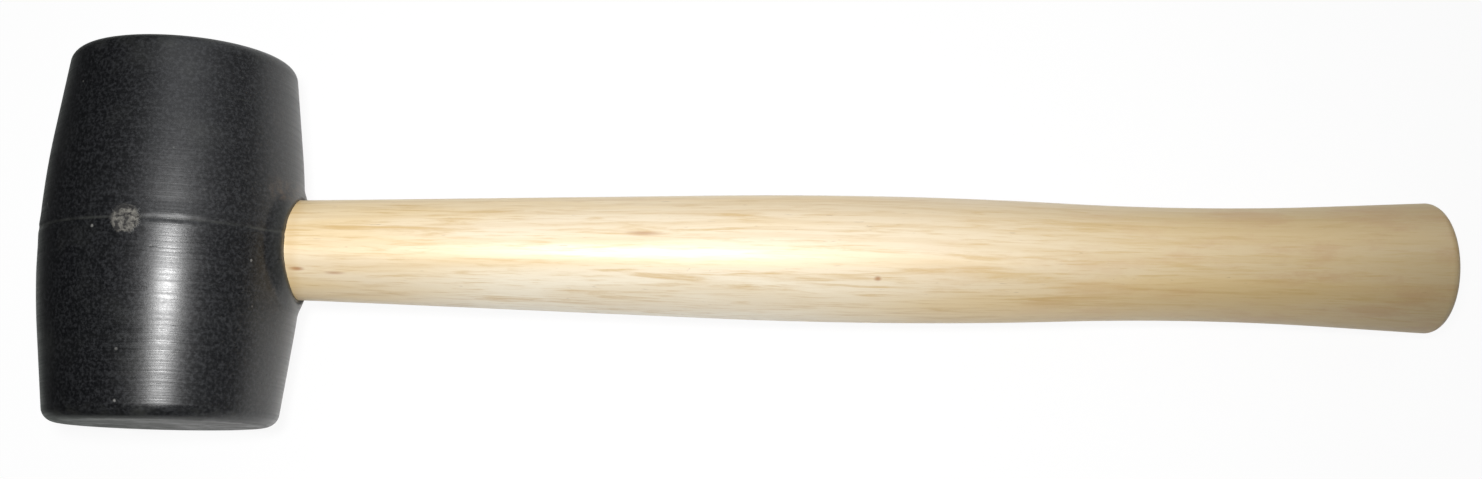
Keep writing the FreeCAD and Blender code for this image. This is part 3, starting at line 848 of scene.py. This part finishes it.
def woodMaterial():
    material, tree, shader = openMaterial("turnedAsh")
    laid = groupNode(tree, laidSpace, {"Drop": eyeDrop})
    place = laid["Place"]
    x, y, z = split(tree, place)
    band = stretched(tree, place, wood["band"], 3, 0.5, 0.3)
    streak = stretched(tree, place, wood["streak"], 5, 0.65, 0.5)
    brush = stretched(tree, place, wood["brush"], 4, 0.6, 0.2)
    fibre = stretched(tree, place, wood["fibre"], 4, 0.65)
    pore = stretched(tree, place, wood["pore"], 2, 0.5)
    # growth rings about a distant pith, seen as long lines on the side and arcs on the ends
    bend = stretched(tree, place, wood["bend"], 3, 0.5)
    leaning = calc(tree, "ADD", y, product(tree, x, 0.02))
    straight = radial(tree, calc(tree, "SUBTRACT", leaning, wood["pith"][0]),
                      calc(tree, "SUBTRACT", z, wood["pith"][1]))
    toPith = calc(tree, "ADD", straight, product(tree, bend, 5 * mm))
    ringWave = calc(tree, "SINE", product(tree, toPith, math.tau / wood["ringSpacing"]))
    ring = ramp(tree, ringWave, 0.1, 0.95)
    facing = split(tree, laid["Facing"])
    endGrain = ramp(tree, calc(tree, "ABSOLUTE", facing[0]), 0.75, 0.97)
    base = blendColour(tree, ramp(tree, band, 0.38, 0.64), wood["pale"], wood["cream"])
    # painted light and shade: the lower side is painted paler and whiter as a painted highlight, and the
    # upper side darker and warmer as painted shade
    turn = calc(tree, "ARCTAN2", y, z)
    lowerLight = product(tree, ramp(tree, turn, math.radians(-12), math.radians(-38)),
                    ramp(tree, x, 45 * mm, 85 * mm), ramp(tree, x, 200 * mm, 130 * mm))
    upperShade = product(tree, ramp(tree, turn, math.radians(5), math.radians(45)),
                     ramp(tree, x, 70 * mm, 190 * mm))
    base = blendColour(tree, lowerLight, base, wood["paintedLowerLight"])
    base = blendColour(tree, product(tree, upperShade, 0.26), base, wood["tan"])
    base = blendColour(tree, product(tree, ring, 0.18), base, wood["tan"])
    base = blendColour(tree, ramp(tree, streak, 0.5, 0.74, 0.0, 0.75), base, wood["tan"])
    base = blendColour(tree, ramp(tree, brush, 0.50, 0.74, 0.0, 0.6), base, wood["tan"])
    base = blendColour(tree, ramp(tree, fibre, 0.5, 0.85, 0.0, 0.35), base, wood["tan"])
    base = blendColour(tree, ramp(tree, pore, 0.70, 0.80, 0.0, 0.45), base, wood["brown"])
    ends = blendColour(tree, product(tree, ring, 0.75), wood["endGrain"], wood["lateWood"])
    pits = ramp(tree, noise(tree, place, wood["pitScale"], 2, 0.5), 0.6, 0.72, 0.0, 0.7)
    ends = blendColour(tree, pits, ends, wood["brown"])
    base = blendColour(tree, product(tree, endGrain, 0.75), base, ends)
    # pin knots and mineral dashes
    reach = radial(tree, y, z)
    spots = 0.0
    for distance, degrees, length, width, strength in blemishes:
        along = calc(tree, "DIVIDE", calc(tree, "SUBTRACT", x, distance * mm), length * mm)
        arc = product(tree, calc(tree, "SUBTRACT", turn, math.radians(degrees)), reach)
        across = calc(tree, "DIVIDE", arc, width * mm)
        away = calc(tree, "ADD", radial(tree, along, across),
                    product(tree, calc(tree, "SUBTRACT", brush, 0.5), 1.6))
        spot = ramp(tree, away, 0.1, 1.6, strength, 0.0)
        spots = calc(tree, "MAXIMUM", spots, spot)
    base = blendColour(tree, spots, base, wood["dash"])
    worn = wornMarks(tree, place, wood["marks"])
    # the grip is browner towards the butt, and painted darker there as painted shade where the flash falls
    # off; the wood is darker next to the head
    buttToneAndShade = ramp(tree, x, 140 * mm, 290 * mm)
    grip = product(tree, buttToneAndShade, ramp(tree, band, 0.3, 0.7, 0.68, 0.5))
    patch = stretched(tree, place, wood["patch"], 5, 0.65)
    flush = product(tree, buttToneAndShade, ramp(tree, patch, 0.48, 0.66, 0.0, 0.4))
    joint = product(tree, ramp(tree, x, 33.5 * mm, 30.5 * mm), 0.35)
    base = blendColour(tree, grip, base, wood["buttToneAndShade"])
    base = blendColour(tree, flush, base, wood["flushed"])
    base = blendColour(tree, joint, base, wood["tan"])
    base = blendColour(tree, product(tree, worn["Scratch"], 0.3), base, wood["brown"])
    feed(tree, shader.inputs["Base Color"], base)
    rough = sumOf(tree, wood["roughness"], product(tree, calc(tree, "SUBTRACT", fibre, 0.5), 0.25),
                  product(tree, calc(tree, "SUBTRACT", band, 0.5), 0.2), product(tree, endGrain, 0.2))
    feed(tree, shader.inputs["Roughness"], rough)
    relief = sumOf(tree, fibre, product(tree, brush, 0.6), product(tree, spots, -0.8), worn["Height"])
    feed(tree, shader.inputs["Normal"], bump(tree, relief, 0.3, 0.06 * mm))
    shader.inputs["Specular IOR Level"].default_value = wood["specular"]
    shader.inputs["Coat Weight"].default_value = wood["finish"]
    shader.inputs["Coat Roughness"].default_value = wood["finishRoughness"]
    return material


steel = {
    "bright": (0.50, 0.50, 0.51, 1),
    "scale": (0.16, 0.155, 0.155, 1),
    "rust": (0.22, 0.105, 0.05, 1),
    "brushed": (160, 300, 4200),
    "patchScale": 330,
    "rustScale": 520,
    "marks": ((700, 260, 2600), 900, 0.6),
    "roughness": 0.36,
}


def steelMaterial():
    material, tree, shader = openMaterial("wedgeSteel")
    laid = groupNode(tree, laidSpace, {"Drop": eyeDrop})
    place = laid["Place"]
    brushed = stretched(tree, place, steel["brushed"], 3, 0.6)
    patches = noise(tree, place, steel["patchScale"], 6, 0.65)
    worn = wornMarks(tree, place, steel["marks"])
    scale = ramp(tree, patches, 0.46, 0.6)
    rust = ramp(tree, noise(tree, place, steel["rustScale"], 5, 0.7), 0.58, 0.7, 0.0, 0.75)
    base = blendColour(tree, scale, steel["bright"], steel["scale"])
    base = blendColour(tree, rust, base, steel["rust"])
    base = blendColour(tree, product(tree, worn["Scratch"], 0.5), base, steel["bright"])
    feed(tree, shader.inputs["Base Color"], base)
    feed(tree, shader.inputs["Metallic"], ramp(tree, rust, 0.0, 0.6, 1.0, 0.25))
    rough = sumOf(tree, steel["roughness"], product(tree, brushed, 0.15), product(tree, scale, 0.15),
                  product(tree, rust, 0.3))
    feed(tree, shader.inputs["Roughness"], rough)
    relief = sumOf(tree, brushed, product(tree, rust, 0.5), worn["Height"])
    feed(tree, shader.inputs["Normal"], bump(tree, relief, 0.35, 0.04 * mm))
    return material


print("building the head")
rubberPaint = rubberMaterial()
rubberHead = runTree(outlineObject("rubberHead", headOutline()), headTree(), {
    "Segments": head["segments"], "Crowding": head["crowding"], "Eye Radius": head["eyeRadius"],
    "Eye Drop": eyeDrop, "Lip Height": head["lipHeight"], "Lip Width": head["lipWidth"],
    "Ridge Wear": head["ridgeWear"], "Seed": head["seed"], "Material": rubberPaint})
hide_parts("rubber_head")
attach(rubberHead, "root")

print("building the handle")
woodPaint = woodMaterial()
slitStart = stick["crownEnd"] - 1 * mm
woodenHandle = runTree(outlineObject("woodenHandle", stickOutline()), stickTree(), {
    "Segments": stick["segments"], "Crowding": stick["crowding"], "Eye Drop": eyeDrop,
    "Waver": stick["waver"], "Seed": stick["seed"],
    "Slit Length": wedge["length"] + 0.8 * mm, "Slit Width": wedge["width"] + 4 * wedge["gap"],
    "Slit Mouth": wedge["mouth"] + 2.4 * wedge["gap"], "Slit End": wedge["tip"] + 2 * wedge["gap"],
    "Slit Start": slitStart, "Rasp Radius": head["radius"] - stick["raspDepth"], "Material": woodPaint})
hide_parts("handle")
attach(woodenHandle, "root")

print("building the wedge")
steelPaint = steelMaterial()
steelWedge = runTree(wedgeBlank(), wedgeTree(), {
    "Dent": wedge["dent"], "Crown": stick["crownEnd"] - wedge["proud"],
    "Struck Depth": wedge["struckDepth"], "Seed": wedge["seed"], "Material": steelPaint}, sharpFrom=50)
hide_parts("steel_wedge")
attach(steelWedge, "root")

# floor, light and camera

print("setting up the floor, the light and the camera")
studio = {
    "floorReach": 6.0,
    "floorSeen": (1.0, 1.0, 1.0, 1),
    "floorShade": 0.07,                 # how much of its real shading the white floor keeps
    "floorLeft": (0.10, 0.10, 0.10, 1), # what the mallet mirrors of the floor, dim far beyond the head
    "floorBeside": (0.50, 0.53, 0.50, 1),   # and brighter close beside it
    "floorRight": (0.97, 0.97, 0.96, 1),
    "leftFade": (-0.25, -0.195),        # where along X each of them takes over
    "rightFade": (-0.19, -0.13),
    "worldLeft": (0.02, 0.02, 0.022, 1),
    "worldRight": (0.11, 0.113, 0.118, 1),
    "worldWindow": (1.0, 1.03, 1.07, 1),   # broad pale patch beyond the upper face
    "flashPlace": (-0.027, -0.035, 0.44),
    "flashAim": (-0.042, -0.01, 0.03),
    "flashSize": 0.022,
    "flashPower": 7.3,
    "flashBeam": math.radians(77),
}


def onlyCamera(tree, seen, other):
    mix = tree.nodes.new("ShaderNodeMixShader")
    path = tree.nodes.new("ShaderNodeLightPath")
    tree.links.new(path.outputs["Is Camera Ray"], mix.inputs[0])
    tree.links.new(other, mix.inputs[1])
    tree.links.new(seen, mix.inputs[2])
    return mix.outputs[0]


def makeFloor():
    reach = studio["floorReach"]
    mesh = bpy.data.meshes.new("floor")
    corners = [(-reach, -reach, 0), (reach, -reach, 0), (reach, reach, 0), (-reach, reach, 0)]
    mesh.from_pydata(corners, [], [(0, 1, 2, 3)])
    floor = newObject("floor", mesh)
    material, tree, shader = openMaterial("paleFloor")
    x = split(tree, addNode(tree, "ShaderNodeTexCoord").outputs["Object"])[0]
    # reflections and bounce light see this floor painted dark on the left and bright on the right: painted
    # shade and painted light for the mallet
    colour = blendColour(tree, ramp(tree, x, *studio["leftFade"]), studio["floorLeft"], studio["floorBeside"])
    colour = blendColour(tree, ramp(tree, x, *studio["rightFade"]), colour, studio["floorRight"])
    feed(tree, shader.inputs["Base Color"], colour)
    shader.inputs["Roughness"].default_value = 0.9
    shader.inputs["Specular IOR Level"].default_value = 0.1
    glow = addNode(tree, "ShaderNodeEmission", {"Color": studio["floorSeen"], "Strength": 1.0})
    white = addNode(tree, "ShaderNodeBsdfDiffuse", {"Color": studio["floorSeen"]})
    bright = tree.nodes.new("ShaderNodeMixShader")
    bright.inputs[0].default_value = studio["floorShade"]
    tree.links.new(glow.outputs[0], bright.inputs[1])
    tree.links.new(white.outputs[0], bright.inputs[2])
    output = next(node for node in tree.nodes if node.type == "OUTPUT_MATERIAL")
    tree.links.new(onlyCamera(tree, bright.outputs[0], shader.outputs[0]), output.inputs["Surface"])
    mesh.materials.append(material)


def makeWorld():
    world = bpy.data.worlds.new("studio")
    world.use_nodes = True
    tree = world.node_tree
    tree.nodes.clear()
    direction = addNode(tree, "ShaderNodeTexCoord").outputs["Generated"]
    x, y, z = split(tree, direction)
    side = ramp(tree, x, -0.25, 0.5)
    colour = blendColour(tree, side, studio["worldLeft"], studio["worldRight"])
    window = product(tree, ramp(tree, x, -0.2, -0.08), ramp(tree, x, 0.85, 0.3),
                     ramp(tree, y, 0.18, 0.42), ramp(tree, z, 0.0, 0.15))
    colour = blendColour(tree, window, colour, studio["worldWindow"])
    room = addNode(tree, "ShaderNodeBackground", {"Color": colour, "Strength": 1.0})
    seen = addNode(tree, "ShaderNodeBackground",
                   {"Color": studio["floorSeen"], "Strength": 1 - studio["floorShade"]})
    output = tree.nodes.new("ShaderNodeOutputWorld")
    tree.links.new(onlyCamera(tree, seen.outputs[0], room.outputs[0]), output.inputs["Surface"])
    bpy.context.scene.world = world


def addFlash():
    light = bpy.data.lights.new("flash", "SPOT")
    light.energy = studio["flashPower"]
    light.shadow_soft_size = studio["flashSize"]
    light.spot_size = studio["flashBeam"]
    light.spot_blend = 1.0
    lamp = bpy.data.objects.new("flash", light)
    lamp.location = studio["flashPlace"]
    aim = Vector(studio["flashAim"]) - Vector(studio["flashPlace"])
    lamp.rotation_euler = aim.to_track_quat("-Z", "Y").to_euler()
    bpy.context.scene.collection.objects.link(lamp)


makeFloor()
makeWorld()
addFlash()

viewpoint = {
    "place": Vector((0.13997, -0.06623, 0.38321)),      # from the head's centre
    "forward": Vector((-0.00568, 0.17366, -0.98479)),
    "roll": 0.00945,
    "lens": 38.89,
}
camera = bpy.data.objects.new("camera", bpy.data.cameras.new("camera"))
camera.data.lens = viewpoint["lens"]
camera.data.sensor_width = 36
camera.data.clip_start = 0.01
forward = viewpoint["forward"].normalized()
sideways = forward.cross(Vector((0, 1, 0))).normalized()
upward = sideways.cross(forward)
looking = Matrix((sideways, upward, -forward)).transposed().to_4x4()
camera.matrix_world = (Matrix.Translation(headCentre + viewpoint["place"]) @ looking
                       @ Matrix.Rotation(viewpoint["roll"], 4, "Z"))
bpy.context.scene.collection.objects.link(camera)
bpy.context.scene.camera = camera
bpy.context.scene.view_settings.view_transform = "Standard"
